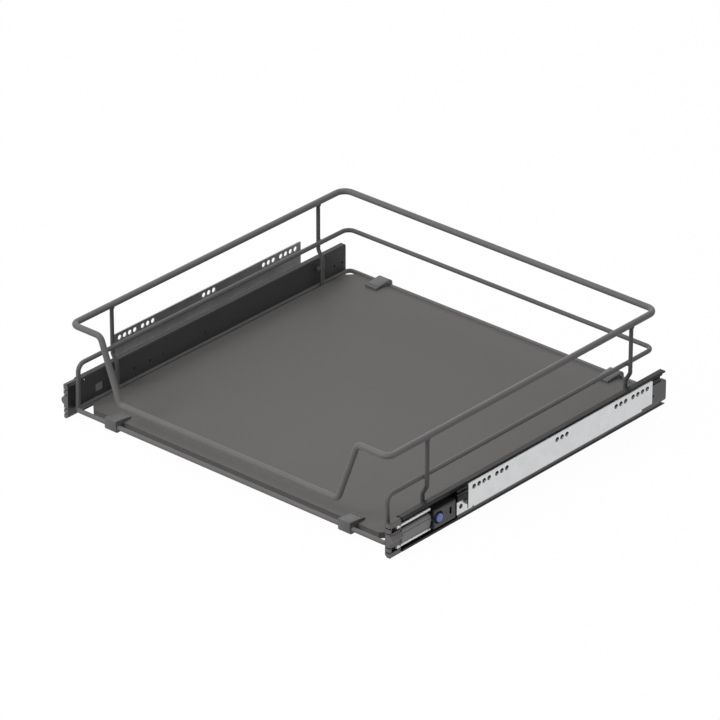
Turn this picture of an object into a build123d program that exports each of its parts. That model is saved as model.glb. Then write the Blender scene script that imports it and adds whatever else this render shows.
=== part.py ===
from build123d import *
import os
from math import cos, radians, sin

# Pull-out cabinet drawer: a wire basket with a tray board, hung between two telescopic ball slides
# on stepped wall brackets. Everything is drawn about the wall screws: X is 0 midway between the
# cabinet walls, Y is 0 at the middle screw hole and grows to the rear, Z is 0 at the screw row.
# save() then moves each piece so that the origin is at the bottom centre of the whole.

# Where the origin sits, seen from the middle screw hole
ORIGIN_Y = -26.75
ORIGIN_Z = -54.5

# Wall brackets: stepped pressings of galvanised sheet, for a 600 mm cabinet with 16 mm sides
WALL_X = 284.0
BRACKET_SHEET = 1.5
BRACKET_FRONT, BRACKET_REAR = -170.0, 170.0
BRACKET_TOP, BRACKET_STEP = 7.0, -28.0
LIMB_FRONT, LIMB_REAR, LIMB_BOTTOM = -171.0, 150.5, -40.5
EAR_REAR, RELIEF_Z = -160.0, -24.0
SCREW_RADIUS, SCREW_PITCH = 3.25, 9.0
SCREW_ROWS = {-146.5: 4, -110.0: 3, 0.0: 3, 110.0: 3, 146.5: 4}
RIVET_PLACES, RIVET_HEIGHT = (-140.0, 0.0, 130.0), -3.5

# Slide: depth is measured outwards from the drawer profile's inner face, height from its middle
PROFILE_X = 253.3
SLIDE_Z = -30.25
SLIDE_DEPTH = 12.7
DRAWER_SHEET, MIDDLE_SHEET, CABINET_SHEET = 1.2, 1.0, 1.0
OUTER_BALL, INNER_BALL, BALL_PLAY = 1.9, 1.6, 0.1
OUTER_ROW_HEIGHT = 19.55
MIDDLE_DEPTH = 3.8
CORNER_RADIUS, BEAD_RADIUS, KERB_RADIUS = 0.8, 0.85, 1.2
WEB_WALL, FAR_WALL, KERB_WALL = 20.0, 30.0, 10.0
DRAWER_FRONT, DRAWER_REAR = -261.5, 222.3
MIDDLE_FRONT, MIDDLE_REAR = -166.0, 210.0
CABINET_FRONT, CABINET_REAR = -168.0, 219.5
TRAVEL = 490.0
STOP_LUG = 1.45

# Ball cages
BALL_PITCH = 25.2
OUTER_BALLS = [-138.0 + BALL_PITCH * i for i in range(8)]
INNER_BALLS = [-30.0 + BALL_PITCH * i for i in range(5)]
OUTER_CAGE_SHEET, OUTER_CAGE_DEPTH, OUTER_CAGE_LEVEL, OUTER_CAGE_REACH = 0.5, 2.0, 18.55, 7.4
INNER_CAGE_SHEET, INNER_CAGE_DEPTH, INNER_CAGE_LEVEL, INNER_CAGE_REACH = 0.4, 4.9, 14.62, 10.6
OUTER_CAGE_FRONT, OUTER_CAGE_REAR = -161.0, 50.0
INNER_CAGE_FRONT, INNER_CAGE_REAR = -42.0, 84.0

# Wire basket
TOP_WIRE, MID_WIRE, BASE_WIRE, UPRIGHT_WIRE = 8.0, 5.0, 5.0, 5.0
TOP_X, TOP_Z, TOP_REAR, TOP_FRONT = 251.1, 72.9, 216.35, -274.2
DIP_TOP_X, DIP_LOW_X, DIP_Z = 204.0, 173.5, -9.5
MID_X, MID_Z, MID_REAR, MID_FRONT = 245.8, 18.9, 218.4, -270.5
LEG_FOOT_X, LEG_FOOT_Z = 247.9, -40.7
BASE_X, BASE_Z, BASE_REAR, BASE_FRONT = 248.9, -42.2, 224.0, -273.0
UPRIGHT_PLACES = {"front": -205.5, "rear": 168.0}
UPRIGHT_TOP_X, UPRIGHT_LOW_X = 251.1, 244.1
BUSH_HEIGHT = 10.25

# Tray board and its clips
TRAY_X, TRAY_FRONT, TRAY_REAR = 240.5, -264.3, 215.9
TRAY_BOTTOM, TRAY_TOP, TRAY_CORNER = -46.3, -38.3, 12.5
CLIP_X, CLIP_WIDTH, CLIP_REACH, CLIP_WALL = 187.0, 18.5, 26.5, 2.0

# Front adjuster: wheel, crank, tongue and front bracket
WHEEL_Y, WHEEL_RADIUS, WHEEL_FACE = -202.0, 6.8, 15.2
CRANK_RADIUS, CRANK_THROW, CRANK_PIN, CRANK_SWEEP = 4.6, 3.0, 1.5, 42.0
AXLE_RADIUS, AXLE_PLAY = 2.0, 0.05
PIN_Y, HOUSING_RIVETS = -188.0, (-192.0, -177.0)
HOUSING_FRONT, HOUSING_REAR, HOUSING_BOTTOM, HOUSING_TOP, HOUSING_DEPTH = -209.5, -170.5, -13.8, 10.8, 12.4
TONGUE_TOP, TONGUE_BOTTOM, TONGUE_DEPTH = 7.75, -10.75, 8.3
FRONT_FACE, FRONT_BACK, FRONT_TOP, FRONT_BOTTOM, FRONT_DEPTH = -282.0, -262.0, 22.0, -23.5, 7.2
ROD_RADIUS, ROD_DEPTH, ROD_HEIGHTS = 1.5, 5.4, (11.2, -14.35)
ROD_FRONT, ROD_REAR, ROD_SEAT = -269.0, -205.3, -264.5


# Helpers in slide measures: depth from the drawer profile, place along Y, height from mid slide

def block(depth, along, height):
    """Box between two depths, two places and two heights."""
    size = [high - low for low, high in (depth, along, height)]
    middle = [(low + high) / 2 for low, high in (depth, along, height)]
    return Pos(PROFILE_X + middle[0], middle[1], SLIDE_Z + middle[2]) * Box(*size)


def across(radius, along, height, depth):
    """Round bar square to the wall."""
    bar = Rot(0, 90, 0) * Cylinder(radius, depth[1] - depth[0])
    return Pos(PROFILE_X + sum(depth) / 2, along, SLIDE_Z + height) * bar


def stud(radius, along, height, depth):
    """Eight-sided bar square to the wall, for rivets, pins and the small holes they sit in."""
    return rise(Pos(along, height) * Rot(0, 0, 22.5) * RegularPolygon(radius, 8), depth)


def rod(radius, depth, height, along):
    """Twelve-sided bar along the slide."""
    return run(Pos(depth, height) * RegularPolygon(radius, 12), along[0], along[1])


def rise(section, depth):
    """Solid whose section, drawn in place along Y and height, is raised between two depths."""
    placed = Pos(PROFILE_X + depth[0], 0, SLIDE_Z) * (Plane.YZ * section)
    return extrude(placed, amount=depth[1] - depth[0], dir=(1, 0, 0))


def run(section, front, rear):
    """Solid whose section, drawn in depth and height, runs from front to rear."""
    placed = Pos(PROFILE_X, front, SLIDE_Z) * (Plane.XZ * section)
    return extrude(placed, amount=rear - front, dir=(0, 1, 0))


# Bent sheet

def sheet_side(start, tangent, moves, offset):
    """One side of a bent sheet, offset to the left of the sheet's middle line."""
    point = start + tangent.rotate(Axis.Z, 90) * offset
    edges = []
    for size, turn in moves:
        if turn == 0:
            edge = Line(point, point + tangent * size)
        else:
            edge = JernArc(point, tangent, size - offset if turn > 0 else size + offset, turn)
        edges.append(edge)
        point = edge @ 1
        tangent = edge % 1
    return edges


def sheet_face(start, tangent, moves, sheet):
    """Section of a bent sheet. A move is a straight run (length, 0) or a bend (radius, turn)."""
    left = sheet_side(start, tangent, moves, sheet / 2)
    right = sheet_side(start, tangent, moves, -sheet / 2)
    ends = [Line(left[0] @ 0, right[0] @ 0), Line(left[-1] @ 1, right[-1] @ 1)]
    return make_face(left + right + ends)


def rolled_section(depth, moves, sheet):
    """Section of a rolled profile. Its web rises from mid height and the lower half mirrors it."""
    upper = sheet_face(Vector(depth, 0), Vector(0, 1), moves, sheet)
    return upper + mirror(upper, about=Plane.XZ)


# Where the two rows of balls run, worked out from the bends of the middle profile

outer_race = OUTER_BALL + BALL_PLAY + MIDDLE_SHEET / 2
inner_race = INNER_BALL + BALL_PLAY + MIDDLE_SHEET / 2
web_lean, far_lean = radians(WEB_WALL), radians(FAR_WALL)
outer_row = (
    MIDDLE_DEPTH + BEAD_RADIUS * (1 + sin(web_lean)) + outer_race * sin(web_lean),
    OUTER_ROW_HEIGHT,
)
inner_row = (
    outer_row[0] + (outer_race + inner_race) * sin(far_lean),
    outer_row[1] - (outer_race + inner_race) * cos(far_lean),
)


def drawer_section():
    """Largest profile, a square-cornered channel. Its lip closes the race of the outer balls."""
    race = OUTER_BALL + BALL_PLAY + DRAWER_SHEET / 2
    depth = DRAWER_SHEET / 2
    moves = [
        (outer_row[1] + race - CORNER_RADIUS, 0),
        (CORNER_RADIUS, -90),
        (outer_row[0] + race - depth - 2 * CORNER_RADIUS, 0),
        (CORNER_RADIUS, -90),
        (race - CORNER_RADIUS - 0.1, 0),
        (1.2, -25),
    ]
    return rolled_section(depth, moves, DRAWER_SHEET)


def middle_section():
    """Middle profile: a bead, a groove under the outer balls, then a crest over the inner ones."""
    moves = [
        (outer_row[1] - (BEAD_RADIUS + outer_race) * cos(web_lean), 0),
        (BEAD_RADIUS, -90 - WEB_WALL),
        (outer_race, WEB_WALL + FAR_WALL),
        (inner_race, -100 - FAR_WALL),
    ]
    return rolled_section(MIDDLE_DEPTH, moves, MIDDLE_SHEET)


def cabinet_section():
    """Smallest profile, its web towards the wall, with a groove that carries the inner balls."""
    lean = radians(KERB_WALL)
    web = SLIDE_DEPTH - CABINET_SHEET / 2
    groove_depth = inner_row[0] + inner_race * sin(lean)
    groove_height = inner_row[1] - inner_race * cos(lean)
    slope = (web - KERB_RADIUS * (1 + sin(lean)) - groove_depth) / cos(lean)
    moves = [
        (groove_height + slope * sin(lean) - KERB_RADIUS * cos(lean), 0),
        (KERB_RADIUS, 90 + KERB_WALL),
        (slope, 0),
        (inner_race, -KERB_WALL - FAR_WALL),
        (0.4, 0),
    ]
    return rolled_section(web, moves, CABINET_SHEET)


def cage_section(depth, level, reach, sheet):
    """Sheet cage between two profiles, a plain channel."""
    bend = 0.8
    return rolled_section(depth, [(level - bend, 0), (bend, -90), (reach - depth - bend, 0)], sheet)


# Slide pieces, drawn on the right

def drawer_profile():
    """Drawer-side profile: lips cut back behind, web holes, a window and a pressed stop lug."""
    profile = run(drawer_section(), DRAWER_FRONT, DRAWER_REAR)
    profile -= block((7, 11), (DRAWER_REAR - 6, DRAWER_REAR + 1), (-21, 21))
    profile -= block((-1, 2), (-234, -220), (-6, 5.25))
    profile -= stud(1.2, -252.8, 19, (-1, 2))
    profile -= [stud(1.7, place, 0, (-1, 2)) for place in (-166.0, -138.0, 201.0, 216.0)]
    profile -= [stud(1.5, place, 0, (-1, 2)) for place in HOUSING_RIVETS]
    profile -= [stud(2.0, place, BUSH_HEIGHT, (-1, 2)) for place in UPRIGHT_PLACES.values()]
    front = MIDDLE_FRONT + 17.5 + TRAVEL / 2 + 0.3
    return profile + block((1, DRAWER_SHEET + STOP_LUG), (front, front + 3), (-2.5, 2.5))


def middle_profile():
    """Middle profile with a stop lug towards the drawer in front and one to the cabinet behind."""
    profile = run(middle_section(), MIDDLE_FRONT, MIDDLE_REAR)
    web = MIDDLE_DEPTH - MIDDLE_SHEET / 2
    profile += block((web - STOP_LUG, web + 0.2), (MIDDLE_FRONT + 14.5, MIDDLE_FRONT + 17.5), (-2.5, 2.5))
    profile += block((web + 0.8, 8.0), (MIDDLE_REAR - 3, MIDDLE_REAR), (-2.5, 2.5))
    return profile


def cabinet_profile():
    """Cabinet-side profile with rounded rear corners, rivet holes and the front stop lug."""
    profile = run(cabinet_section(), CABINET_FRONT, CABINET_REAR)
    outline = Pos(CABINET_REAR - 250, 0) * RectangleRounded(500, 28.9, 3.5)
    profile &= rise(outline, (5, 13))
    profile -= [stud(1.5, place, RIVET_HEIGHT, (11, 13)) for place in RIVET_PLACES]
    profile -= stud(1.6, 195.0, 0, (11, 13))
    rear = MIDDLE_REAR - 3 - TRAVEL / 2 - 0.3
    return profile + block((6, 11.8), (rear - 3, rear), (-2.5, 2.5))


def ball_pocket(depth, place, radius):
    """Eight-sided cutter, upright through both limbs of a cage."""
    outline = Pos(PROFILE_X + depth, place, SLIDE_Z) * RegularPolygon(radius, 8)
    return extrude(outline, amount=30, both=True)


def outer_cage():
    """Cage with a pocket for each outer ball and a slot, open to the rear, for the stop lugs."""
    section = cage_section(OUTER_CAGE_DEPTH, OUTER_CAGE_LEVEL, OUTER_CAGE_REACH, OUTER_CAGE_SHEET)
    cage = run(section, OUTER_CAGE_FRONT, OUTER_CAGE_REAR)
    cage -= block((1, 3), (OUTER_CAGE_FRONT + 7, OUTER_CAGE_REAR + 1), (-4, 4))
    return cage - [ball_pocket(outer_row[0], place, OUTER_BALL + 0.1) for place in OUTER_BALLS]


def inner_cage():
    """Cage with a pocket for each inner ball."""
    section = cage_section(INNER_CAGE_DEPTH, INNER_CAGE_LEVEL, INNER_CAGE_REACH, INNER_CAGE_SHEET)
    cage = run(section, INNER_CAGE_FRONT, INNER_CAGE_REAR)
    return cage - [ball_pocket(inner_row[0], place, INNER_BALL + 0.1) for place in INNER_BALLS]


def balls(row, radius, places):
    """Two rows of loose balls, above and below the web. Each is a cube with all its edges cut until
    its corners lie on the sphere, so that the many balls stay light."""
    half = radius / (1 + 2 * (2 ** 0.5 - 1) ** 2) ** 0.5
    cube = Box(2 * half, 2 * half, 2 * half)
    ball = chamfer(cube.edges(), half * (2 - 2 ** 0.5))
    depth, height = row
    return [
        Pos(PROFILE_X + depth, place, SLIDE_Z + side * height) * ball
        for place in places for side in (1, -1)
    ]


def rear_buffer():
    """Rubber block on the cabinet profile that the middle profile closes against."""
    return block((2.2, 11.7), (210.3, CABINET_REAR), (-8, 8))


def closing_buffer():
    """Rubber block behind the housing, which stops the closing drawer."""
    return block((2.2, 7.0), (HOUSING_REAR, MIDDLE_FRONT - 0.3), (-12, 10))


# Wall bracket, drawn on the right

def wall_bracket():
    """Stepped pressing: screw plate on the wall, step, and the limb that carries the slide."""
    plate = WALL_X - BRACKET_SHEET / 2
    limb = PROFILE_X + SLIDE_DEPTH + BRACKET_SHEET / 2
    step = BRACKET_STEP + BRACKET_SHEET / 2
    bend = 1.25
    moves = [
        (BRACKET_TOP - step - bend, 0),
        (bend, -90),
        (plate - limb - 2 * bend, 0),
        (bend, 90),
        (step - bend - LIMB_BOTTOM, 0),
    ]
    section = sheet_face(Vector(plate, BRACKET_TOP), Vector(0, -1), moves, BRACKET_SHEET)
    blank = Pos(0, LIMB_FRONT, 0) * (Plane.XZ * section)
    bracket = extrude(blank, amount=BRACKET_REAR - LIMB_FRONT, dir=(0, 1, 0))
    bracket -= block((15, 32), (LIMB_FRONT - 1, BRACKET_FRONT), (0, 40))
    bracket -= block((10, 32), (LIMB_REAR, BRACKET_REAR + 1), (-20, RELIEF_Z - SLIDE_Z))
    bracket -= block((SLIDE_DEPTH + BRACKET_SHEET, 32), (LIMB_FRONT - 1, EAR_REAR), (-1, 5.25))
    bracket -= block((SLIDE_DEPTH - 1, 32), (LIMB_FRONT - 1, EAR_REAR), (0, 5.25))
    bracket += block((SLIDE_DEPTH, SLIDE_DEPTH + BRACKET_SHEET), (LIMB_FRONT, EAR_REAR), (-1, 6.25))
    for centre, count in SCREW_ROWS.items():
        for i in range(count):
            place = centre + SCREW_PITCH * (i - (count - 1) / 2)
            bracket -= across(SCREW_RADIUS, place, -SLIDE_Z, (25, 32))
    bracket -= across(3.2, -164.0, -0.75, (12, 16))
    bracket -= [stud(1.5, place, RIVET_HEIGHT, (12, 16)) for place in RIVET_PLACES]
    ends = bracket.edges().filter_by(Axis.X).filter_by_position(Axis.Z, BRACKET_TOP - 0.1, BRACKET_TOP + 0.1)
    return fillet(ends, 1.5)


def bracket_rivets():
    """Rivets that hold the cabinet profile to the limb, with a round head on each side."""
    rivets = []
    for place in RIVET_PLACES:
        rivet = stud(1.5, place, RIVET_HEIGHT, (11, 15))
        rivet += stud(2.8, place, RIVET_HEIGHT, (10.9, 11.7))
        rivets.append(rivet + stud(2.8, place, RIVET_HEIGHT, (14.2, 15.0)))
    return rivets


# Wire basket

def wire_face(diameter, sides):
    """Section of a wire: a polygon with flats above and below, as near to the circle as it can be."""
    half_angle = radians(180 / sides)
    return Rot(0, 0, 180 / sides) * RegularPolygon(diameter / (1 + cos(half_angle)), sides)


def wire(diameter, sides, bends, *points):
    """Wire through the points, with one bend radius for each inner point."""
    path = FilletPolyline(*points, radius=bends)
    return sweep(Plane(origin=path @ 0, z_dir=path % 0) * wire_face(diameter, sides), path=path)


def both_halves(half):
    """Closed loop from its right half."""
    return half + mirror(half, about=Plane.YZ)


def top_rail():
    """Top rail: a closed loop whose front dips between two slanting legs."""
    half = wire(
        TOP_WIRE, 12, [14, 10, 9, 10],
        (0, TOP_REAR, TOP_Z), (TOP_X, TOP_REAR, TOP_Z), (TOP_X, TOP_FRONT, TOP_Z),
        (DIP_TOP_X, TOP_FRONT, TOP_Z), (DIP_LOW_X, TOP_FRONT, DIP_Z), (0, TOP_FRONT, DIP_Z),
    )
    return both_halves(half)


def base_frame():
    """Base wire: a flat closed loop round the tray board."""
    half = wire(
        BASE_WIRE, 8, [7, 7],
        (0, BASE_REAR, BASE_Z), (BASE_X, BASE_REAR, BASE_Z), (BASE_X, BASE_FRONT, BASE_Z),
        (0, BASE_FRONT, BASE_Z),
    )
    return both_halves(half)


def mid_rail():
    """Middle rail: round the sides and rear, with a leg down to the base wire at each front end."""
    half = wire(
        MID_WIRE, 8, [11, 10],
        (0, MID_REAR, MID_Z), (MID_X, MID_REAR, MID_Z), (MID_X, MID_FRONT, MID_Z),
        (LEG_FOOT_X, MID_FRONT, LEG_FOOT_Z),
    )
    return both_halves(half) - base_frame()


def upright(place):
    """Upright on the right: under the top rail, then jogged inwards beside the two lower wires."""
    bar = wire(
        UPRIGHT_WIRE, 8, [6, 6],
        (UPRIGHT_TOP_X, place, TOP_Z - 2.7), (UPRIGHT_TOP_X, place, 7),
        (UPRIGHT_LOW_X, place, -5), (UPRIGHT_LOW_X, place, -44),
    )
    return bar - [top_rail(), mid_rail(), base_frame()]


def basket_bushes():
    """Bushes welded to the uprights, each with a spigot riveted flush in the drawer profile."""
    bushes = []
    inner = UPRIGHT_LOW_X + 1.0 - PROFILE_X
    for place in UPRIGHT_PLACES.values():
        bush = stud(4.0, place, BUSH_HEIGHT, (inner, 0)) + stud(2.0, place, BUSH_HEIGHT, (0, DRAWER_SHEET))
        bushes.append(bush - upright(place))
    return bushes


# Tray board and clips

def tray_board():
    """Board that lies inside the base wire, with its four corners cut off."""
    middle = (TRAY_FRONT + TRAY_REAR) / 2
    outline = chamfer(Rectangle(2 * TRAY_X, TRAY_REAR - TRAY_FRONT).vertices(), TRAY_CORNER)
    return extrude(Pos(0, middle, TRAY_BOTTOM) * outline, amount=TRAY_TOP - TRAY_BOTTOM, dir=(0, 0, 1))


def clip(edge):
    """Clip section, set out from the base wire towards the board, whose edge is at the distance
    given: a bevelled tongue over the board, a hook round the wire and a tongue under the board."""
    out = -BASE_WIRE / 2 - CLIP_WALL
    top, bottom = TRAY_TOP + 5.8 - BASE_Z, TRAY_BOTTOM - 2.7 - BASE_Z
    over, under = TRAY_TOP - BASE_Z, TRAY_BOTTOM - BASE_Z
    outline = Polyline(
        (out, bottom + 1), (out, top - 0.6), (out + 0.6, top), (CLIP_REACH - 4, over + 3.2),
        (CLIP_REACH, over + 0.8), (CLIP_REACH, over), (edge, over), (edge, under), (CLIP_REACH - 5, under),
        (CLIP_REACH - 5, under - 0.8), (edge + 3, bottom), (1.7, bottom), (1.7, 0), (-1.7, 0),
        (-1.7, bottom), (out + 1, bottom), close=True,
    )
    section = make_face(outline) - wire_face(BASE_WIRE, 8)
    placed = Pos(CLIP_X - CLIP_WIDTH / 2, 0, 0) * (Plane.YZ * section)
    return extrude(placed, amount=CLIP_WIDTH, dir=(1, 0, 0))


def front_clip():
    """Clip on the front run of the base wire, drawn on the right."""
    return Pos(0, BASE_FRONT, BASE_Z) * clip(TRAY_FRONT - BASE_FRONT)


def rear_clip():
    """Clip on the rear run of the base wire, drawn on the right."""
    return Pos(0, BASE_REAR, BASE_Z) * mirror(clip(BASE_REAR - TRAY_REAR), about=Plane.XZ)


# Front adjuster, drawn on the right

def adjuster_housing():
    """Housing riveted in the drawer profile: pocket for the tongue, crank and wheel seats."""
    housing = block(
        (DRAWER_SHEET, HOUSING_DEPTH), (HOUSING_FRONT, HOUSING_REAR), (HOUSING_BOTTOM, HOUSING_TOP)
    )
    edges = housing.edges().filter_by(Axis.Z).group_by(Axis.X)[-1]
    edges += housing.edges().filter_by(Axis.Y).group_by(Axis.X)[-1]
    housing = chamfer(edges, 1.0)
    housing -= [
        block((3.6, 7.4), (HOUSING_FRONT - 1, HOUSING_FRONT + 5), (height - 3.8, height + 3.8))
        for height in ROD_HEIGHTS
    ]
    housing -= [
        block((1, 5.3), (HOUSING_FRONT - 1, -196), (-7.4, 7.4)),
        block((9.5, 13), (-182.2, -178.4), (-4.5, 4.5)),
        block((5.2, 7.0), (WHEEL_Y - CRANK_RADIUS - 0.3, WHEEL_Y + CRANK_RADIUS + 0.3), (-4.9, 4.9)),
        across(AXLE_RADIUS + AXLE_PLAY, WHEEL_Y, 0, (6.9, 9.6)),
        across(WHEEL_RADIUS + 1.2, WHEEL_Y, 0, (9.5, 13)),
        stud(1.2, PIN_Y, 0, (10, 13)),
    ]
    return housing - [stud(1.5, place, 0, (1, 4.5)) for place in HOUSING_RIVETS]


def housing_rivets():
    """Two rivets, flush with the web, that hold the housing."""
    return [stud(1.5, place, 0, (0, 4.5)) for place in HOUSING_RIVETS]


def index_pin():
    """Small pin that marks the wheel's middle setting."""
    return stud(1.2, PIN_Y, 0, (10, HOUSING_DEPTH + 0.4))


def adjust_wheel():
    """Thumb wheel with a bevelled rim and an eight-sided seat for the crank's axle."""
    wheel = across(WHEEL_RADIUS, WHEEL_Y, 0, (9.7, WHEEL_FACE))
    wheel = chamfer(wheel.edges().group_by(Axis.X)[-1], 1.2)
    return wheel - stud(AXLE_RADIUS, WHEEL_Y, 0, (9, 13))


def crank():
    """Crank under the wheel: axle, disc and the eccentric pin that lifts the tongue."""
    shape = across(AXLE_RADIUS, WHEEL_Y, 0, (6.5, 9.7)) + stud(AXLE_RADIUS, WHEEL_Y, 0, (9.5, 13))
    shape += stud(CRANK_RADIUS, WHEEL_Y, 0, (5.4, 6.8))
    return shape + across(CRANK_PIN, WHEEL_Y - CRANK_THROW, 0, (2.7, 5.5))


def tongue():
    """Tongue behind the front bracket: ribbed back, and a plate with the slot for the crank pin."""
    front, shoulder, middle = FRONT_BACK, HOUSING_FRONT - 4.5, (TONGUE_TOP + TONGUE_BOTTOM) / 2
    outline = Polyline((shoulder, TONGUE_BOTTOM), (front, TONGUE_BOTTOM), (front, TONGUE_TOP), (shoulder, TONGUE_TOP))
    outline += ThreePointArc((shoulder, TONGUE_TOP), (HOUSING_FRONT - 0.5, middle), (shoulder, TONGUE_BOTTOM))
    body = rise(make_face(outline), (1.6, TONGUE_DEPTH))
    body = chamfer(body.edges().filter_by(Axis.Y).group_by(Axis.X)[-1], 0.8)
    body -= block((TONGUE_DEPTH - 0.8, 11), (front + 3, HOUSING_FRONT), (0.7, 2.1))
    plate = block((2.6, 5.0), (HOUSING_FRONT - 1, -198), (-5, 5))
    travel = CRANK_THROW * (1 - cos(radians(CRANK_SWEEP)))
    slot = rise(Pos(WHEEL_Y - CRANK_THROW + travel / 2, 0) * SlotCenterToCenter(travel, 2 * CRANK_PIN + 0.3), (2, 6))
    return body + plate - slot


def front_bracket():
    """Bracket that carries the drawer front: notched face, rounded nose and two rod windows."""
    bracket = block((0, FRONT_DEPTH), (FRONT_FACE, FRONT_BACK), (FRONT_BOTTOM, FRONT_TOP))
    inner = bracket.edges().filter_by(Axis.Y).group_by(Axis.X)[0].sort_by(Axis.Z)
    bracket = chamfer(inner, 3)
    bracket += run(Pos(5.65, 0) * Circle(5.45), FRONT_FACE, FRONT_BACK)
    for height in ROD_HEIGHTS:
        bracket -= block((2.8, 12), (FRONT_FACE + 3.2, ROD_SEAT), (height - 3.3, height + 3.3))
        bracket -= rod(ROD_RADIUS, ROD_DEPTH, height, (ROD_SEAT - 1, FRONT_BACK + 1))
    for height in (14.75, 7.85, -10.75, -17.25):
        bracket -= block((1.6, 9), (FRONT_FACE - 1, FRONT_FACE + 2.5), (height - 0.8, height + 0.8))
    return bracket


def guide_rods():
    """Two rods with heads in the bracket's windows, running back beside the tongue."""
    rods = []
    for height in ROD_HEIGHTS:
        shank = rod(ROD_RADIUS, ROD_DEPTH, height, (ROD_FRONT, ROD_REAR))
        rods.append(shank + rod(2.1, ROD_DEPTH, height, (ROD_FRONT, ROD_SEAT)))
    return rods


# Files, one for each node

def save(name, solids):
    """Writes one node, moved so that the origin is at the bottom centre of the whole."""
    placed = [Pos(0, -ORIGIN_Y, -ORIGIN_Z) * solid for solid in solids]
    export_step(Compound(label=name, children=placed), f"parts/{name}.step")


def save_both(right_name, left_name, shape):
    """Writes a right-hand piece and its left-hand mirror image."""
    solids = shape if isinstance(shape, list) else [shape]
    save(right_name, solids)
    save(left_name, [mirror(solid, about=Plane.YZ) for solid in solids])


os.makedirs("parts", exist_ok=True)
save("top_rail", [top_rail()])
save("mid_rail", [mid_rail()])
save("base_frame", [base_frame()])
save("tray_board", [tray_board()])
for end, place in UPRIGHT_PLACES.items():
    save_both(f"{end}_right_upright", f"{end}_left_upright", upright(place))
save_both("front_right_clip", "front_left_clip", front_clip())
save_both("rear_right_clip", "rear_left_clip", rear_clip())
side_pieces = {
    "wall_bracket": wall_bracket(),
    "bracket_rivets": bracket_rivets(),
    "cabinet_profile": cabinet_profile(),
    "rear_buffer": rear_buffer(),
    "inner_cage": inner_cage(),
    "inner_balls": balls(inner_row, INNER_BALL, INNER_BALLS),
    "middle_profile": middle_profile(),
    "outer_cage": outer_cage(),
    "outer_balls": balls(outer_row, OUTER_BALL, OUTER_BALLS),
    "drawer_profile": drawer_profile(),
    "basket_bushes": basket_bushes(),
    "closing_buffer": closing_buffer(),
    "adjuster_housing": adjuster_housing(),
    "housing_rivets": housing_rivets(),
    "index_pin": index_pin(),
    "adjust_wheel": adjust_wheel(),
    "crank": crank(),
    "tongue": tongue(),
    "front_bracket": front_bracket(),
    "guide_rods": guide_rods(),
}
for piece, shape in side_pieces.items():
    save_both(f"right_{piece}", f"left_{piece}", shape)
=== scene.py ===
import math

import bmesh
import bpy
from mathutils import Euler, Matrix, Vector


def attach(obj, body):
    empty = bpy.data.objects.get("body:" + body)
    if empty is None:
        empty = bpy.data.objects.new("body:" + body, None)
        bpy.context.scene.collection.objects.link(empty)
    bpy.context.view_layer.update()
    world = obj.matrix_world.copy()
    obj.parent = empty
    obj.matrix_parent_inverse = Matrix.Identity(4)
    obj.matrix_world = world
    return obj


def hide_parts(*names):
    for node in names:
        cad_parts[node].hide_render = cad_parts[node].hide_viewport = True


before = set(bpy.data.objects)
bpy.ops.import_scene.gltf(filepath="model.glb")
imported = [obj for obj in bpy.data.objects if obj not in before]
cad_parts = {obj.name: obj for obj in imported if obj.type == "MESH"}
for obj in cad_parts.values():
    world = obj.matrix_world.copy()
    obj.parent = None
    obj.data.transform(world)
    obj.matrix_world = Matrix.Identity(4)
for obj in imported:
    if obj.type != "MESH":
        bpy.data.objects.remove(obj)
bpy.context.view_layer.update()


# Camera. A long lens, seven metres away, looks down on the right front corner of the drawer.
# Its place and turn were solved from the right angles of the drawer in the photograph.
def spot(x, y, z):
    """Point in metres from millimetres about the middle screw hole of the wall brackets."""
    return Vector((x, y + 26.75, z + 54.5)) / 1000


looking_down, turned_right = 27.7055, 41.3795
focal_length, image_width, sensor_width = 5742, 720, 36
off_axis = Vector((-25.1152, 3.3205, 6935.76)) / 1000
camera = bpy.data.objects.new("camera", bpy.data.cameras.new("camera"))
bpy.context.scene.collection.objects.link(camera)
bpy.context.scene.camera = camera
turn = Euler((math.radians(90 - looking_down), 0, math.radians(turned_right)))
camera.rotation_euler = turn
camera.location = spot(0, 0, 0) + turn.to_matrix() @ off_axis
camera.data.sensor_width = sensor_width
camera.data.lens = focal_length / image_width * sensor_width
camera.data.clip_end = 60


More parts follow.
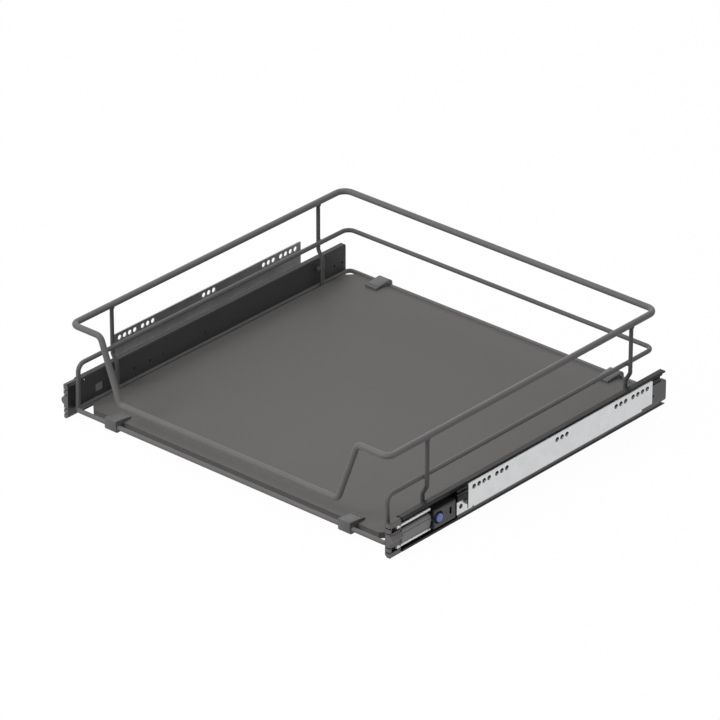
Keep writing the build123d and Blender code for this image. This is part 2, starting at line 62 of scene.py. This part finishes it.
# Wall brackets. Each is pressed from 1.5 mm galvanised sheet: a plate with screw holes, a step and
# a limb that the cabinet profile is riveted to. The zinc shows large pale flowers, a little
# duller in patches, and fine rolling marks along the sheet.
class Signal:
    """A number, colour or vector that runs through the nodes of one material."""

    def __init__(self, tree, socket):
        self.tree = tree
        self.socket = socket

    def make(self, kind, settings, inputs, output=0):
        """Adds a node of any kind: its settings come first, then its sockets' values or links."""
        node = self.tree.nodes.new(kind)
        stops = settings.pop("stops", None)
        for name, value in settings.items():
            setattr(node, name, value)
        if stops:
            ramp = node.color_ramp
            while len(ramp.elements) < len(stops):
                ramp.elements.new(0.5)
            for element, (place, shade) in zip(ramp.elements, stops):
                element.position = place
                element.color = (shade, shade, shade, 1)
        for name, value in inputs.items():
            if isinstance(value, Signal):
                self.tree.links.new(value.socket, node.inputs[name])
            else:
                node.inputs[name].default_value = value
        return Signal(self.tree, node.outputs[output])

    def combine(self, operation, first, second):
        """Math node on two numbers, at least one of them a signal."""
        return self.make("ShaderNodeMath", {"operation": operation}, {0: first, 1: second})

    def __add__(self, other):
        return self.combine("ADD", self, other)

    def __radd__(self, other):
        return self.combine("ADD", other, self)

    def __sub__(self, other):
        return self.combine("SUBTRACT", self, other)

    def __rsub__(self, other):
        return self.combine("SUBTRACT", other, self)

    def __mul__(self, other):
        return self.combine("MULTIPLY", self, other)

    def __rmul__(self, other):
        return self.combine("MULTIPLY", other, self)

    def __abs__(self):
        return self.make("ShaderNodeMath", {"operation": "ABSOLUTE"}, {0: self})

    def ramp(self, *stops, lowest, highest):
        """Grey ramp over this value between two bounds, from (place, shade) stops."""
        share = (self - lowest) * (1 / (highest - lowest))
        return self.make("ShaderNodeValToRGB", {"stops": stops}, {"Fac": share})

    def part(self, axis):
        """One coordinate of this vector."""
        return self.make("ShaderNodeSeparateXYZ", {}, {"Vector": self}, axis)

    def colours(self, low, high):
        """Colour between two, by this value."""
        inputs = {0: self, 6: (*low, 1), 7: (*high, 1)}
        return self.make("ShaderNodeMix", {"data_type": "RGBA"}, inputs, 2)

    def noise(self, scale, detail):
        """Noise on this vector, with features a metre over scale in size."""
        inputs = {"Vector": self, "Scale": scale, "Detail": detail}
        return self.make("ShaderNodeTexNoise", {}, inputs)

    def stretched(self, x, y, z):
        """This vector scaled along each axis."""
        return self.make("ShaderNodeMapping", {}, {"Vector": self, "Scale": (x, y, z)})

    def bump(self, height):
        """Normal from this height, where 1 stands for the depth given in metres."""
        inputs = {"Height": self, "Distance": height, "Strength": 1.0}
        return self.make("ShaderNodeBump", {}, inputs)


def srgb(red, green, blue):
    """Colour for a shader from the 0 to 255 values seen in the photograph."""
    shares = [value / 255 for value in (red, green, blue)]
    return [s / 12.92 if s <= 0.04045 else ((s + 0.055) / 1.055) ** 2.4 for s in shares]


def new_finish(name, **constants):
    """Material with constants on its shader's own sockets, and its Object coordinates."""
    material = bpy.data.materials.new(name)
    material.use_nodes = True
    tree = material.node_tree
    shader = tree.nodes["Principled BSDF"]
    for socket, value in constants.items():
        shader.inputs[socket.replace("_", " ")].default_value = value
    return material, shader, Signal(tree, None).make("ShaderNodeTexCoord", {}, {}, "Object")


def feed(shader, **signals):
    """Links what varies over the surface to the shader."""
    for socket, signal in signals.items():
        signal.tree.links.new(signal.socket, shader.inputs[socket.replace("_", " ")])


def dress(material, *nodes):
    """Gives CAD nodes a material."""
    for node in nodes:
        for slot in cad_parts[node].material_slots:
            slot.material = material


def both(*names):
    """Right and left node names."""
    return [f"{side}_{name}" for name in names for side in ("right", "left")]


zinc, shader, place = new_finish("galvanised_sheet", Metallic=0.92, Specular_IOR_Level=0.5)
cells = {"Vector": place, "Scale": 95.0, "Randomness": 1.0}
flowers = place.make("ShaderNodeTexVoronoi", {}, cells, "Color")
flowers = flowers.make("ShaderNodeSeparateColor", {}, {"Color": flowers})
clouds = place.noise(14, 3)
marks = place.stretched(900, 12, 900).noise(1, 2)
speckle = place.noise(1100, 3)
shade = flowers * 0.2 + clouds * 0.2 + marks * 0.15 + speckle * 0.45
# The sheet's thickness, the walls of the holes and the sheared edges, is painted dark: painted
# shade.
hole_wall_shade = abs(place.part("X")).ramp(
    (0.2, 1.0), (0.24, 0.2), (0.76, 0.2), (0.79, 1.0), lowest=0.2820, highest=0.2845
)
feed(
    shader,
    Base_Color=((shade * 0.3 + 0.7) * hole_wall_shade).colours(srgb(60, 60, 62), srgb(226, 227, 228)),
    Roughness=shade * 0.2 + 0.22,
    Normal=(marks * 0.4 + speckle * 0.6).bump(0.00002),
)
dress(zinc, *both("wall_bracket", "bracket_rivets"))


# Cabinet and middle profiles. Rolled steel strip with a satin grey coat, folded into channels that
# run in each other on two rows of balls. The races and the open front end are painted darker than
# the webs, as painted shade.
coat, shader, place = new_finish("grey_profile_coat", Metallic=0.6, Specular_IOR_Level=0.5)
drawn = place.stretched(1400, 9, 1400).noise(1, 2)
clouds = place.noise(22, 3)
# Painted shade on the races above and below the flat of the web, which lies about the middle
# height of the slide, and on the mouth, its front end.
slide_middle = 0.02425
unshaded_web = abs(place.part("Z") - slide_middle).ramp(
    (0.0, 1.0), (0.5, 1.0), (0.8, 0.0), lowest=0.0120, highest=0.0150
)
mouth_shade = place.part("Y").ramp((0.0, 0.2), (0.4, 0.3), (1.0, 1.0), lowest=-0.1420, highest=-0.1220)
shade = (drawn * 0.45 + clouds * 0.55) * 0.25 + unshaded_web * mouth_shade * 0.75
feed(
    shader,
    Base_Color=shade.colours(srgb(38, 38, 39), srgb(104, 102, 102)),
    Roughness=shade * 0.2 + 0.3,
    Normal=(drawn * 0.7 + place.noise(2600, 1) * 0.3).bump(0.00002),
)
dress(coat, *both("cabinet_profile", "middle_profile"))


# Drawer profiles. The same rolled strip in a near-black satin coat with fine orange peel. The
# basket is fixed to them through the bushes on its uprights. The flat of the web is painted a
# little lighter, and the flanges and the folds darker, as painted light and shade.
dark, shader, place = new_finish("dark_profile_coat", Specular_IOR_Level=0.18)
peel = place.noise(1500, 2)
clouds = place.noise(18, 3)
drawn = place.stretched(1100, 7, 1100).noise(1, 2)
# Painted shade on the upper flange, and painted light on the face of the web on the side of the
# basket.
shaded_flange = place.part("Z").ramp((0.0, 0.0), (0.5, 0.0), (0.6, 1.0), lowest=0.0450, highest=0.0475)
inner = abs(place.part("X")).ramp(
    (0.0, 1.0), (0.5, 1.0), (0.6, 0.0), lowest=0.2528, highest=0.2558
)
shade = (clouds * 0.6 + drawn * 0.4) * 0.3 + inner * (1 - shaded_flange) * 0.7
feed(
    shader,
    Base_Color=shade.colours(srgb(32, 32, 33), srgb(86, 85, 86)),
    Roughness=shade * 0.12 + 0.4,
    Normal=(peel * 0.6 + drawn * 0.4).bump(0.00003),
)
dress(dark, *both("drawer_profile"))


# Ball cages. Thin plain steel strip, punched for the balls and folded along its length, with a
# trace of grease. Each rolls along between two profiles, at the mean of their speeds.
strip, shader, place = new_finish("cage_strip", Metallic=0.85, Specular_IOR_Level=0.5)
drawn = place.stretched(1600, 20, 1600).noise(1, 2)
grease = place.noise(60, 3)
feed(
    shader,
    Base_Color=grease.colours(srgb(120, 118, 114), srgb(168, 167, 165)),
    Roughness=grease * 0.3 + drawn * 0.1 + 0.2,
    Normal=drawn.bump(0.00002),
)
dress(strip, *both("inner_cage", "outer_cage"))


# Balls. Polished bearing steel, 3.8 mm in the outer rows and 3.2 mm in the inner ones. The solids
# are cut cubes, so round balls take their places here, held in the pockets of the cages.
sides = (("right", 1), ("left", -1))
slide_face, slide_height = 253.3, -30.25


def in_slide(sign, depth, along, height=0.0):
    """Point in a slide, in mm out from its inner face, along the drawer and up from its middle."""
    return spot(sign * (slide_face + depth), along, slide_height + height)


def new_piece(name, bm, material, body, slot, *nodes):
    """Finished piece on its body, in the place of its CAD nodes."""
    bmesh.ops.remove_doubles(bm, verts=bm.verts, dist=0.00001)
    rims = [edge for edge in bm.edges if edge.is_boundary]
    bmesh.ops.holes_fill(bm, edges=rims, sides=0)
    bmesh.ops.recalc_face_normals(bm, faces=bm.faces)
    for face in bm.faces:
        face.smooth = True
    mesh = bpy.data.meshes.new(name)
    bm.to_mesh(mesh)
    mesh.set_sharp_from_angle(angle=math.radians(38))
    mesh.materials.append(material)
    piece = bpy.data.objects.new(name, mesh)
    bpy.context.scene.collection.objects.link(piece)
    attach(piece, body)
    if nodes:
        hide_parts(*nodes)


steel, shader, place = new_finish("ball_steel", Metallic=1.0)
film = place.noise(400, 2)
feed(
    shader,
    Base_Color=film.colours(srgb(190, 190, 192), srgb(222, 222, 224)),
    Roughness=film * 0.12 + 0.08,
    Normal=film.bump(0.00001),
)
pitch = 25.2
for side, sign in sides:
    for row, radius, depth, height, first, count in (
        ("outer", 1.9, 5.796, 19.55, -138.0, 8),
        ("inner", 1.6, 8.146, 15.48, -30.0, 5),
    ):
        bm = bmesh.new()
        for index in range(count):
            for up in (1, -1):
                centre = in_slide(sign, depth, first + pitch * index, up * height)
                bmesh.ops.create_uvsphere(
                    bm, u_segments=16, v_segments=10, radius=radius / 1000,
                    matrix=Matrix.Translation(centre),
                )
        name, body, node = f"{row}_round_balls", f"{row}_ball_cage", f"{row}_balls"
        new_piece(f"{side}_{name}", bm, steel, f"{side}_{body}", "ball_steel", f"{side}_{node}")


# Wire basket. Steel wires, 8 mm in the top rail, 5.8 mm in the middle rail and the base wire and
# 5.2 mm in the uprights, bent cold, welded where they meet and coated in satin grey powder. The
# solids are many-sided bars, so round wires of the same run replace them.
def powder_coat(name, low, high):
    """Satin powder coat between two greys, with its orange peel."""
    powder, shader, place = new_finish(name, Specular_IOR_Level=0.22)
    peel = place.noise(900, 2)
    clouds = place.noise(25, 3)
    feed(
        shader,
        Base_Color=clouds.colours(low, high),
        Roughness=peel * 0.12 + clouds * 0.1 + 0.34,
        Normal=(peel * 0.8 + place.noise(3000, 1) * 0.2).bump(0.00002),
    )
    return powder


def draw_wire(bm, diameter, bends, points):
    """Bends a round wire through points, with a radius in mm of its own at each inner point."""
    facing = (points[1] - points[0]).to_track_quat("Z", "Y").to_matrix().to_4x4()
    start = Matrix.Translation(points[0]) @ facing
    made = bmesh.ops.create_circle(bm, segments=20, radius=diameter / 2000, matrix=start)
    ring = list(dict.fromkeys(edge for vert in made["verts"] for edge in vert.link_edges))
    used = 0.0
    for index in range(1, len(points)):
        run = points[index] - points[index - 1]
        ahead = points[index + 1] - points[index] if index < len(points) - 1 else None
        angle = run.angle(ahead) if ahead else 0.0
        corner = bends[index - 1] / 1000 if ahead else 0.0
        trim = corner * math.tan(angle / 2)
        step = bmesh.ops.extrude_edge_only(bm, edges=ring)["geom"]
        moved = [item for item in step if isinstance(item, bmesh.types.BMVert)]
        bmesh.ops.translate(bm, verts=moved, vec=run.normalized() * (run.length - used - trim))
        ring = [item for item in step if isinstance(item, bmesh.types.BMEdge)]
        if ahead:
            axis = run.cross(ahead).normalized()
            arc_start = points[index] - run.normalized() * trim
            centre = arc_start + axis.cross(run).normalized() * corner
            spun = bmesh.ops.spin(
                bm, geom=moved + ring, cent=centre, axis=axis, dvec=(0, 0, 0), angle=angle,
                steps=max(3, round(math.degrees(angle) / 9)), use_merge=False, use_duplicate=False,
            )["geom_last"]
            ring = [item for item in spun if isinstance(item, bmesh.types.BMEdge)]
        used = trim


def loop_wire(name, node, finish, diameter, bends, *points):
    """Wire drawn from the middle of the rear to the middle of the front, and its mirror image."""
    bm = bmesh.new()
    draw_wire(bm, diameter, bends, [spot(*point) for point in points])
    half = bm.verts[:] + bm.edges[:] + bm.faces[:]
    bmesh.ops.mirror(bm, geom=half, matrix=Matrix(), merge_dist=0.00001, axis="X")
    new_piece(name, bm, finish, "drawer", "wire_coat", node)


def turned(bm, start, heading, *outline):
    """Round piece with its (distance along, radius) outline in mm, spun about a line."""
    before = set(bm.verts)
    chain = [bm.verts.new((radius / 1000, 0, along / 1000)) for along, radius in outline]
    edges = [bm.edges.new(pair) for pair in zip(chain, chain[1:])]
    bmesh.ops.spin(
        bm, geom=chain + edges, cent=(0, 0, 0), axis=(0, 0, 1), dvec=(0, 0, 0),
        angle=2 * math.pi, steps=24, use_merge=True, use_duplicate=False,
    )
    made = [vert for vert in bm.verts if vert not in before]
    facing = heading.to_track_quat("Z", "Y").to_matrix().to_4x4()
    bmesh.ops.transform(bm, matrix=Matrix.Translation(start) @ facing, verts=made)


# One powder coat in three greys, as painted light and shade: the top rail and the base wire
# lightest, the middle rail between, the uprights and the weld beads darkest.
powder = powder_coat("grey_powder_coat", srgb(92, 91, 91), srgb(108, 107, 106))
lit_rail_coat = powder_coat("grey_lit_rail_coat", srgb(111, 109, 109), srgb(127, 125, 125))
half_lit_mid_coat = powder_coat("grey_half_lit_mid_coat", srgb(100, 99, 99), srgb(116, 115, 114))

top_height, dip_height, mid_height, base_height = 72.9, -9.5, 18.9, -42.2
top_side, top_front, top_rear = 251.1, -274.2, 216.35
mid_side, mid_front, mid_rear, leg_foot = 245.8, -270.5, 218.4, -40.7
base_side, base_front, base_rear = 248.9, -273, 224
upright_foot = 244.1
upright_lines = (("front", -205.5), ("rear", 168.0))
loop_wire(
    "round_top_rail", "top_rail", lit_rail_coat, 8, (14, 10, 9, 10),
    (0, top_rear, top_height), (top_side, top_rear, top_height), (top_side, top_front, top_height),
    (204, top_front, top_height), (173.5, top_front, dip_height), (0, top_front, dip_height),
)
loop_wire(
    "round_mid_rail", "mid_rail", half_lit_mid_coat, 5.8, (11, 10),
    (0, mid_rear, mid_height), (mid_side, mid_rear, mid_height), (mid_side, mid_front, mid_height),
    (247.9, mid_front, leg_foot),
)
loop_wire(
    "round_base_wire", "base_frame", lit_rail_coat, 5.8, (7, 7),
    (0, base_rear, base_height), (base_side, base_rear, base_height),
    (base_side, base_front, base_height), (0, base_front, base_height),
)
for end, line in upright_lines:
    for side, sign in sides:
        bm = bmesh.new()
        points = [
            spot(sign * top_side, line, 70.2), spot(sign * top_side, line, 7),
            spot(sign * upright_foot, line, -5), spot(sign * upright_foot, line, -44),
        ]
        draw_wire(bm, 5.2, (6, 6), points)
        name, node = f"round_{end}_{side}_upright", f"{end}_{side}_upright"
        new_piece(name, bm, powder, "drawer", "wire_coat", node)
dress(dark, *both("basket_bushes"))

leg_bead = (-3.4, 1.0), (-2.4, 2.8), (0, 3.5), (2.6, 3.0), (3.6, 1.0)
top_bead = (-1.9, 2.4), (-1.2, 3.1), (0.4, 3.7), (1.6, 3.4)
side_bead = (-3.2, 0.8), (-2.4, 2.2), (0, 3.0), (2.4, 2.2), (3.2, 0.8)
upwards = Vector((0, 0, 1))
beads = bmesh.new()
for side, sign in sides:
    turned(beads, spot(sign * 248, mid_front, leg_foot), upwards, *leg_bead)
    for end, line in upright_lines:
        turned(beads, spot(sign * top_side, line, 68.6), upwards, *top_bead)
        turned(beads, spot(sign * 248.6, line, mid_height), upwards, *side_bead)
        turned(beads, spot(sign * 246.4, line, base_height), upwards, *side_bead)
new_piece("weld_beads", beads, powder, "drawer", "wire_coat")


# Tray board. An 8 mm board faced in mid-grey melamine with a fine matt grain, cut off at its four
# corners. It lies inside the base wire, held by the clips, and a band along its rear edge is
# painted in shade.
board, shader, place = new_finish("grey_melamine", Specular_IOR_Level=0.35)
grain = place.noise(1400, 2)
clouds = place.noise(5, 3)
dust = place.noise(260, 4)
shade = clouds * 0.5 + dust * 0.3 + grain * 0.2
# Painted shade in a band of 8 mm along the rear edge.
rear_edge_shade = place.part("Y").ramp(
    (0.0, 1.0), (0.35, 0.68), (0.7, 0.5), (1.0, 0.36), lowest=0.2347, highest=0.2427
)
feed(
    shader,
    Base_Color=((shade * 0.3 + 0.7) * rear_edge_shade).colours(srgb(60, 59, 58), srgb(104, 102, 100)),
    Roughness=dust * 0.12 + 0.52,
    Normal=(grain * 0.7 + dust * 0.3).bump(0.00004),
)
dress(board, "tray_board")


# Board clips. Moulded in mid-grey plastic with a fine spark grain: a tongue with a lip over the
# board, a hook round the base wire and a short tongue below. They snap on to the front and rear
# runs of the wire.
moulded, shader, place = new_finish("grey_clip_plastic", Specular_IOR_Level=0.45)
grain = place.noise(2600, 2)
clouds = place.noise(45, 2)
feed(
    shader,
    Base_Color=clouds.colours(srgb(94, 93, 93), srgb(106, 105, 105)),
    Roughness=grain * 0.15 + 0.4,
    Normal=grain.bump(0.00004),
)
clip_centre, clip_width = 187, 18.5
for end, line, inwards, reach, board_edge, back_round, shift in (
    ("front", base_front, 1, 22.5, 8.7, 1.5, -1.0),
    ("rear", base_rear, -1, 27.0, 8.1, 6.5, -2.5),
):
    outline = (
        (-4.6, -6.8, 3.6), (-4.6, 9.6, back_round), (reach - 4.4, 7.2, 2.0),
        (reach - 3.4, 6.0, 0.6), (reach - 2.2, 7.0, 0.6), (reach, 6.6, 0.9),
        (reach, 3.9, 0), (board_edge, 3.9, 0), (board_edge, -4.1, 0), (21.5, -4.1, 0),
        (21.5, -4.9, 0), (11.7, -6.8, 0),
    )
    for side, sign in sides:
        bm = bmesh.new()
        flank = sign * clip_centre - clip_width / 2 + shift
        corners = [
            bm.verts.new(spot(flank, line + inwards * across, base_height + up))
            for across, up, rounding in outline
        ]
        bm.faces.new(corners)
        for corner, (across, up, rounding) in zip(corners, outline):
            if rounding:
                bmesh.ops.bevel(
                    bm, geom=[corner], offset=rounding / 1000, offset_type="OFFSET",
                    affect="VERTICES", segments=5, profile=0.5, material=-1,
                )
        grown = bmesh.ops.extrude_face_region(bm, geom=bm.faces[:])["geom"]
        moved = [item for item in grown if isinstance(item, bmesh.types.BMVert)]
        bmesh.ops.translate(bm, verts=moved, vec=(clip_width / 1000, 0, 0))
        bmesh.ops.holes_fill(bm, edges=[edge for edge in bm.edges if edge.is_boundary], sides=0)
        rims = [edge for edge in bm.edges if any(len(face.verts) > 4 for face in edge.link_faces)]
        bmesh.ops.bevel(
            bm, geom=rims, offset=0.0004, offset_type="OFFSET", affect="EDGES", segments=2,
            profile=0.5, material=-1,
        )
        name, node = f"moulded_{end}_{side}_clip", f"{end}_{side}_clip"
        new_piece(name, bm, moulded, "drawer", "clip_plastic", node)


# Adjuster housings. Charcoal mouldings with a fine spark grain, riveted in the drawer profile
# around the wheel and the zinc-plated crank. The outer face is painted light, and the pockets, the
# rod slots and the top edge are painted in shade.
shell, shader, place = new_finish("charcoal_housing", Specular_IOR_Level=0.45)
grain = place.noise(2400, 2)
clouds = place.noise(60, 2)
# Painted light on the outer face, up to the ledge along the top, which is painted in shade.
face = abs(place.part("X")).ramp(
    (0.0, 0.0), (0.5, 0.0), (0.7, 1.0), lowest=0.2640, highest=0.2660
)
top_edge_shade = place.part("Z").ramp((0.0, 1.0), (0.5, 1.0), (0.6, 0.1), lowest=0.0318, highest=0.0338)
feed(
    shader,
    Base_Color=(clouds * 0.2 + face * top_edge_shade * 0.8).colours(srgb(26, 25, 26), srgb(86, 84, 84)),
    Roughness=grain * 0.15 + 0.38,
    Normal=grain.bump(0.00004),
)
dress(shell, *both("adjuster_housing"))
dress(dark, *both("housing_rivets"))
dress(zinc, *both("crank"))


# Adjuster wheels. Blue moulded thumb wheels, glossy from the mould, with shallow grip lobes round
# the rim and a dished face. The face is painted paler and the rim darker, as painted light and
# shade. Each is pressed on the axle of its crank.
wheel_line = -202.0
axle = spot(0, wheel_line, slide_height)
blue, shader, place = new_finish("blue_wheel", Specular_IOR_Level=0.5)
flow = place.noise(300, 2)
# Painted light on the middle of the face, round the axle, and painted shade on the rim beyond.
inputs = {"Vector": place, "Location": (0, -axle.y, -axle.z), "Scale": (0, 1, 1)}
centred = place.make("ShaderNodeMapping", {}, inputs)
length = {"operation": "LENGTH"}
spread = centred.make("ShaderNodeVectorMath", length, {0: centred}, "Value")
lit_middle = spread.ramp((0.0, 1.0), (0.5, 1.0), (0.8, 0.0), lowest=0.0040, highest=0.0056)
feed(
    shader,
    Base_Color=(flow * 0.2 + lit_middle * 0.8).colours(srgb(36, 50, 104), srgb(146, 164, 242)),
    Roughness=flow * 0.12 + 0.26,
    Normal=place.noise(1800, 1).bump(0.00002),
)
grip_step, grip_depth, grip_start = 15, 0.09, 0.0050
for side, sign in sides:
    bm = bmesh.new()
    hub = in_slide(sign, 9.7, wheel_line)
    turned(
        bm, hub, Vector((sign, 0, 0)), (0, 0), (0, 5.4), (0.5, 6.0),
        (4.3, 6.0), (5.3, 5.1), (5.5, 4.6), (5.5, 2.9), (5.0, 2.6), (5.0, 0),
    )
    for vert in bm.verts:
        across, up = vert.co.y - hub.y, vert.co.z - hub.z
        step = round(math.degrees(math.atan2(up, across)) / grip_step)
        if math.hypot(across, up) > grip_start and step % 2:
            vert.co.y -= across * grip_depth
            vert.co.z -= up * grip_depth
    name, node = f"{side}_round_wheel", f"{side}_adjust_wheel"
    new_piece(name, bm, blue, f"{side}_adjuster", "wheel_blue", node)


# Index pins. Small red moulded pins with domed ends, pressed into the housings beside the wheels.
# They mark the middle setting of the wheel.
red, shader, place = new_finish("red_pin", Specular_IOR_Level=0.5)
flow = place.noise(500, 2)
feed(
    shader,
    Base_Color=flow.colours(srgb(128, 28, 26), srgb(156, 42, 38)),
    Roughness=flow * 0.1 + 0.28,
    Normal=flow.bump(0.00001),
)
for side, sign in sides:
    bm = bmesh.new()
    turned(
        bm, in_slide(sign, 10, -188.0), Vector((sign, 0, 0)),
        (0, 0), (0, 1.0), (2.3, 1.0), (2.65, 0.8), (2.8, 0.4), (2.8, 0),
    )
    new_piece(f"{side}_domed_pin", bm, red, "drawer", "pin_red", f"{side}_index_pin")


# Tongues. Grey moulded lifting tongues with a groove along the back and a rounded rear end, fixed
# behind the front brackets. The pin of the crank lifts them by the plate at the rear end.
tongue_grey, shader, place = new_finish("grey_tongue", Specular_IOR_Level=0.5)
grain = place.noise(1600, 2)
clouds = place.noise(70, 2)
# Painted light on the lower half of the back, where it rises to a ridge, and painted shade above
# it.
lit_lower_half = place.part("Z").ramp(
    (0.0, 1.0), (0.2, 0.8), (0.5, 0.6), (0.75, 0.25), (1.0, 0.05), lowest=0.0275, highest=0.0325
)
feed(
    shader,
    Base_Color=(clouds * 0.15 + lit_lower_half * 0.85).colours(srgb(62, 61, 61), srgb(158, 156, 156)),
    Roughness=grain * 0.14 + 0.32,
    Normal=grain.bump(0.00003),
)
dress(tongue_grey, *both("tongue"))


# Front brackets. Zinc die castings with a satin grey coat, notched where the drawer front hooks
# on. The outer cheek is painted light; the inner side, the top edge and the pocket behind the nose
# are painted in shade.
cast, shader, place = new_finish("grey_casting", Metallic=0.2, Specular_IOR_Level=0.5)
peel = place.noise(1300, 2)
clouds = place.noise(50, 3)
# The cheek is the outer side, painted light. Within is what lies near the inner side, painted in
# shade behind the nose, and the top edge is painted in shade too.
outwards = abs(place.part("X"))
lit_cheek = outwards.ramp((0.0, 0.0), (0.5, 0.0), (0.501, 1.0), lowest=0.2525, highest=0.2555)
within = outwards.ramp((0.0, 1.0), (0.5, 1.0), (0.7, 0.0), lowest=0.2590, highest=0.2606)
bracket_top_shade = place.part("Z").ramp((0.0, 1.0), (0.5, 1.0), (0.6, 0.0), lowest=0.0448, highest=0.0468)
shade_behind_nose = place.part("Y").ramp((0.0, 0.0), (0.4, 0.0), (0.6, 1.0), lowest=-0.2560, highest=-0.2520)
shade = clouds * 0.35 + lit_cheek * 0.65 * bracket_top_shade * (1 - shade_behind_nose * within)
feed(
    shader,
    Base_Color=shade.colours(srgb(28, 28, 29), srgb(114, 111, 112)),
    Roughness=peel * 0.15 + 0.34,
    Normal=(peel * 0.7 + clouds * 0.3).bump(0.00005),
)
dress(cast, *both("front_bracket"))


# Guide rods. Bright drawn steel rods with upset heads, held in the windows of the front bracket.
# They run back above and below the tongue and end just before the housing.
bright, shader, place = new_finish("bright_rod", Metallic=0.4, Specular_IOR_Level=0.5)
drawn = place.stretched(1500, 15, 1500).noise(1, 2)
feed(
    shader,
    Base_Color=drawn.colours(srgb(246, 246, 248), srgb(254, 254, 255)),
    Roughness=drawn * 0.15 + 0.3,
    Normal=drawn.bump(0.00001),
)
for side, sign in sides:
    bm = bmesh.new()
    for height in (11.5, -14.7):
        turned(
            bm, in_slide(sign, 5.4, -269.0, height), Vector((0, 1, 0)),
            (0, 0), (0, 1.9), (0.4, 2.3), (4.5, 2.3), (4.5, 1.9),
            (58.9, 1.9), (59.3, 1.5), (59.3, 0),
        )
    name, node = f"{side}_round_rods", f"{side}_guide_rods"
    new_piece(name, bm, bright, f"{side}_front_carrier", "bright_rod", node)


# Buffers and plugs. Black rubber, slightly bloomed. The buffers are blocks fixed in the profiles
# that stop the closing drawer, and the plugs are black discs where two small holes show dark in
# each drawer web: painted shade.
rubber, shader, place = new_finish("black_rubber", Specular_IOR_Level=0.4)
bloom = place.noise(220, 4)
feed(
    shader,
    Base_Color=bloom.colours(srgb(30, 30, 30), srgb(50, 50, 49)),
    Roughness=bloom * 0.2 + 0.6,
    Normal=place.noise(1200, 2).bump(0.00006),
)
dress(rubber, *both("rear_buffer", "closing_buffer"))
for side, sign in sides:
    bm = bmesh.new()
    for line in (-115.1, -39.2):
        turned(
            bm, in_slide(sign, 0.3, line), Vector((-sign, 0, 0)),
            (0, 0), (0, 1.5), (0.35, 1.5), (0.5, 1.35), (0.5, 0.9), (0.38, 0.7), (0.38, 0),
        )
    new_piece(f"{side}_shaded_hole_discs", bm, rubber, "drawer", "buffer_rubber")


# Floor and light. The floor and the room look white to the camera and in gloss, while the light
# that falls on the drawer comes from a large soft lamp in front, a weak one behind and a plain
# grey room.
def seen_white(tree):
    """1 for rays by which the camera, gloss or glass looks at the surroundings, 0 for others."""
    start = Signal(tree, None)
    seen = start.make("ShaderNodeLightPath", {}, {}, "Is Camera Ray")
    for kind in ("Is Glossy Ray", "Is Transmission Ray"):
        other = start.make("ShaderNodeLightPath", {}, {}, kind)
        seen = start.make("ShaderNodeMath", {"operation": "MAXIMUM"}, {0: seen, 1: other})
    return seen


def lamp(name, place, power, size):
    """Soft square lamp that faces the drawer."""
    data = bpy.data.lights.new(name, "AREA")
    data.energy = power
    data.size = size
    light = bpy.data.objects.new(name, data)
    bpy.context.scene.collection.objects.link(light)
    light.location = place
    light.rotation_euler = (-Vector(place)).to_track_quat("-Z", "Y").to_euler()


floor_mesh = bpy.data.meshes.new("floor")
bm = bmesh.new()
bmesh.ops.create_grid(bm, x_segments=1, y_segments=1, size=30.0)
bm.to_mesh(floor_mesh)
floor = bpy.data.objects.new("floor", floor_mesh)
bpy.context.scene.collection.objects.link(floor)
floor.location = (0, 0, -0.0005)

own_grey, shown_share, shown_strength = 0.4, 0.93, 1.05
white, shader, place = new_finish("white_floor", Roughness=0.9, Specular_IOR_Level=0.0)
shader.inputs["Base Color"].default_value = (own_grey, own_grey, own_grey, 1)
tree = white.node_tree
plain = Signal(tree, shader.outputs["BSDF"])
glow = place.make("ShaderNodeEmission", {}, {"Strength": shown_strength})
layers = {0: seen_white(tree) * shown_share, 1: plain, 2: glow}
feed(tree.nodes["Material Output"], Surface=place.make("ShaderNodeMixShader", {}, layers))
floor_mesh.materials.append(white)

ambient = 0.42
world = bpy.data.worlds.new("room")
bpy.context.scene.world = world
world.use_nodes = True
background = world.node_tree.nodes["Background"]
background.inputs["Color"].default_value = (1, 1, 1, 1)
feed(background, Strength=seen_white(world.node_tree) * (1 - ambient) + ambient)

lamp("front_lamp", (-1.0, -2.8, 3.0), 74, 1.8)
lamp("rear_lamp", (-2.4, 2.6, 2.2), 12, 1.6)

bpy.context.scene.view_settings.view_transform = "Standard"
